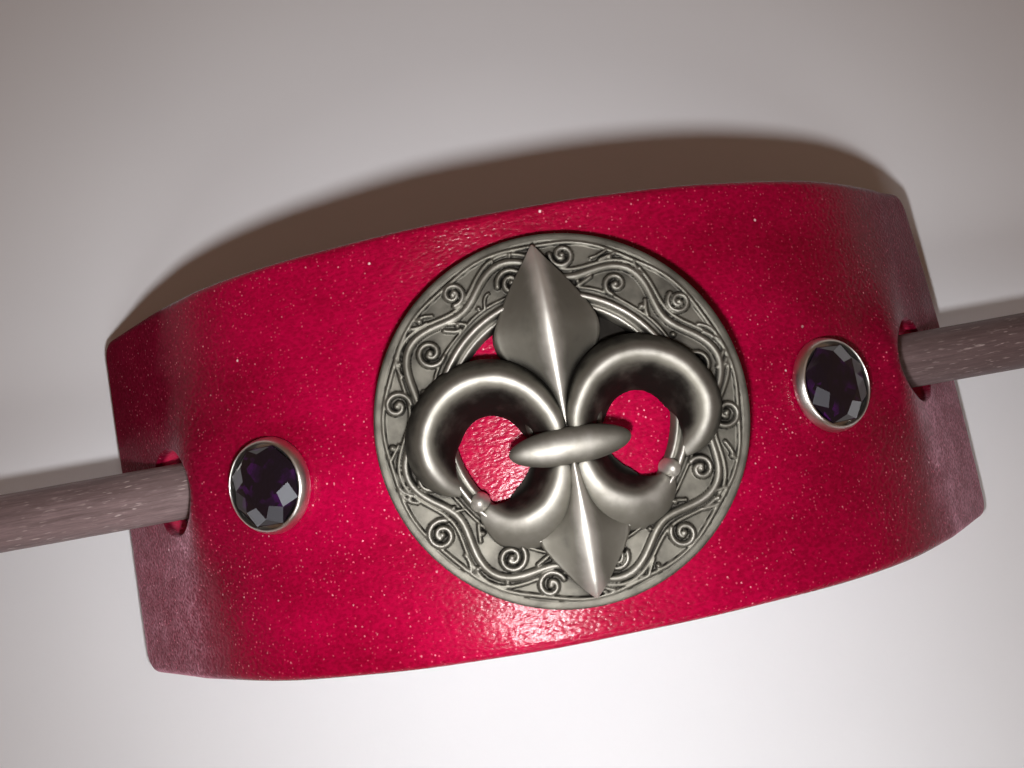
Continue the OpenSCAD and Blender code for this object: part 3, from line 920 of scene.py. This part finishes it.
def wood_material():
    """Taupe stained wood, streaked along the stick, with pale scratches, and darker towards the right as
    painted shade.
    """
    n = Nodes("stained_wood")
    grain = n.noise(260, 6, (0.07, 1, 1), 0.6)
    fine = n.noise(3400, 4, (0.06, 1, 1), 0.75)
    cloud = n.noise(60, 2)
    tone = n.math("ADD", n.times(grain, 0.45), n.times(fine, 0.55))
    colour = n.mix(n.ramp(tone, 0.34, 0.66), (0.12, 0.084, 0.086, 1), (0.31, 0.222, 0.228, 1))
    colour = n.mix(n.times(cloud, 0.3), colour, (0.2, 0.13, 0.125, 1))
    place = n.add("ShaderNodeSeparateXYZ", {"Vector": n.coordinates()}).outputs
    # Painted shade: the stick darkens towards the right.
    colour = n.mix(n.ramp(place[0], 0.0, 0.06, 0, 0.6), colour, (0.06, 0.035, 0.035, 1))
    scratch = n.ramp(n.noise(4200, 2, (0.15, 1, 1)), 0.6, 0.72)
    patch = n.ramp(n.noise(180, 3), 0.4, 0.62, 0.2, 1)
    colour = n.mix(n.times(scratch, patch, 0.7), colour, (0.62, 0.52, 0.5, 1))
    normal = n.bump(tone, 0.00012, 0.7)
    rough = n.math("ADD", 0.4, n.times(fine, 0.2))
    return n.finish(Base_Color=colour, Roughness=rough, Normal=normal)


def paper_material():
    """Pale paper whose far part glows with painted light, brightening it away from the object like the lit
    sweep of a studio table.
    """
    n = Nodes("pale_paper")
    tone = n.mix(n.noise(40, 4), (0.79, 0.8, 0.835, 1), (0.85, 0.86, 0.89, 1))
    place = n.add("ShaderNodeSeparateXYZ", {"Vector": n.coordinates()}).outputs
    square = n.math("ADD", n.times(place[0], place[0]), n.times(place[1], place[1]))
    # Painted light: the paper glows more with distance from the object.
    glow = n.ramp(n.math("SQRT", square), 0.09, 0.21, 0.0, 0.4)
    return n.finish(Base_Color=tone, Roughness=0.7, Normal=n.bump(n.noise(700, 3), 0.0001, 0.2),
                    Emission_Color=(1.0, 0.99, 0.98, 1), Emission_Strength=glow)


def dress(obj, material):
    """Gives the object this material alone."""
    obj.data.materials.clear()
    obj.data.materials.append(material)


# ---------- stage ----------

def build_floor():
    """A wide square of paper at the height that the strap stands on."""
    half = 1500
    verts = [(-half, -half, 0), (half, -half, 0), (half, half, 0), (-half, half, 0)]
    floor = mesh_object("floor", verts, [(0, 1, 2, 3)])
    return floor


def area_light(name, place, target, size, power, colour, spread=180):
    """A round light at a place, aimed at a target and hidden from the camera."""
    data = bpy.data.lights.new(name, "AREA")
    data.shape = "DISK"
    data.size = size * MM
    data.energy = power
    data.spread = math.radians(spread)
    data.color = colour
    lamp = bpy.data.objects.new(name, data)
    lamp.location = Vector(place) * MM
    lamp.rotation_euler = (Vector(target) - Vector(place)).to_track_quat("-Z", "Y").to_euler()
    lamp.visible_camera = False
    bpy.context.scene.collection.objects.link(lamp)
    return lamp


def build_lights():
    """A small soft key beside the camera, a wash over the near side of the floor and a broad fill.
    The world gives a dim warm light and looks pale grey to the camera."""
    area_light("key", (-9, -15, 85), (-3, 0, 20), 7, 0.063, (1.0, 0.99, 0.99))
    area_light("wash", (0, -150, 125), (0, -100, 0), 100, 0.05, (1.0, 1.0, 1.0), 84)
    area_light("fill", (60, 160, 260), (0, 0, 0), 200, 0.014, (1.0, 0.88, 0.8))
    world = bpy.data.worlds.new("studio")
    world.use_nodes = True
    background = world.node_tree.nodes["Background"]
    seen = world.node_tree.nodes.new("ShaderNodeLightPath").outputs["Is Camera Ray"]
    tone = world.node_tree.nodes.new("ShaderNodeMix")
    tone.data_type = "RGBA"
    tone.inputs[6].default_value = (0.105, 0.06, 0.038, 1)
    tone.inputs[7].default_value = (0.5, 0.5, 0.5, 1)
    world.node_tree.links.new(seen, tone.inputs[0])
    world.node_tree.links.new(tone.outputs[2], background.inputs["Color"])
    bpy.context.scene.world = world
    bpy.context.scene.view_settings.view_transform = "Standard"


def build_camera():
    """A phone's wide camera held close above the crown."""
    data = bpy.data.cameras.new("camera")
    data.sensor_width = 36
    data.lens = 27.13
    data.clip_start = 0.005
    camera = bpy.data.objects.new("camera", data)
    tilt, lean, roll = (math.radians(a) for a in (-5.60, 1.03, 10.1))
    view = Matrix.Rotation(lean, 3, "Y") @ Matrix.Rotation(tilt, 3, "X") @ Matrix.Rotation(roll, 3, "Z")
    camera.matrix_world = Matrix.Translation(Vector((-6.6, -2.82, 100.6)) * MM) @ view.transposed().to_4x4()
    bpy.context.scene.collection.objects.link(camera)
    bpy.context.scene.camera = camera


# ---------- assembly ----------

leather = leather_material()
antique = silver_material()
bezel = polished_material("polished_silver", (0.86, 0.84, 0.8), 0.26)
steel = polished_material("rivet_steel", (0.5, 0.48, 0.45), 0.26)
gem = crystal_material()
wood = wood_material()

dress(build_strap(), leather)
dress(build_stick(), wood)
dress(build_concho(), antique)
dress(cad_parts["concho_screw"], steel)
for side in ("left", "right"):
    dress(build_cup(side), bezel)
    dress(build_crystal(side), gem)
    dress(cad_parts[side + "_rivet"], steel)
dress(build_floor(), paper_material())
build_lights()
build_camera()
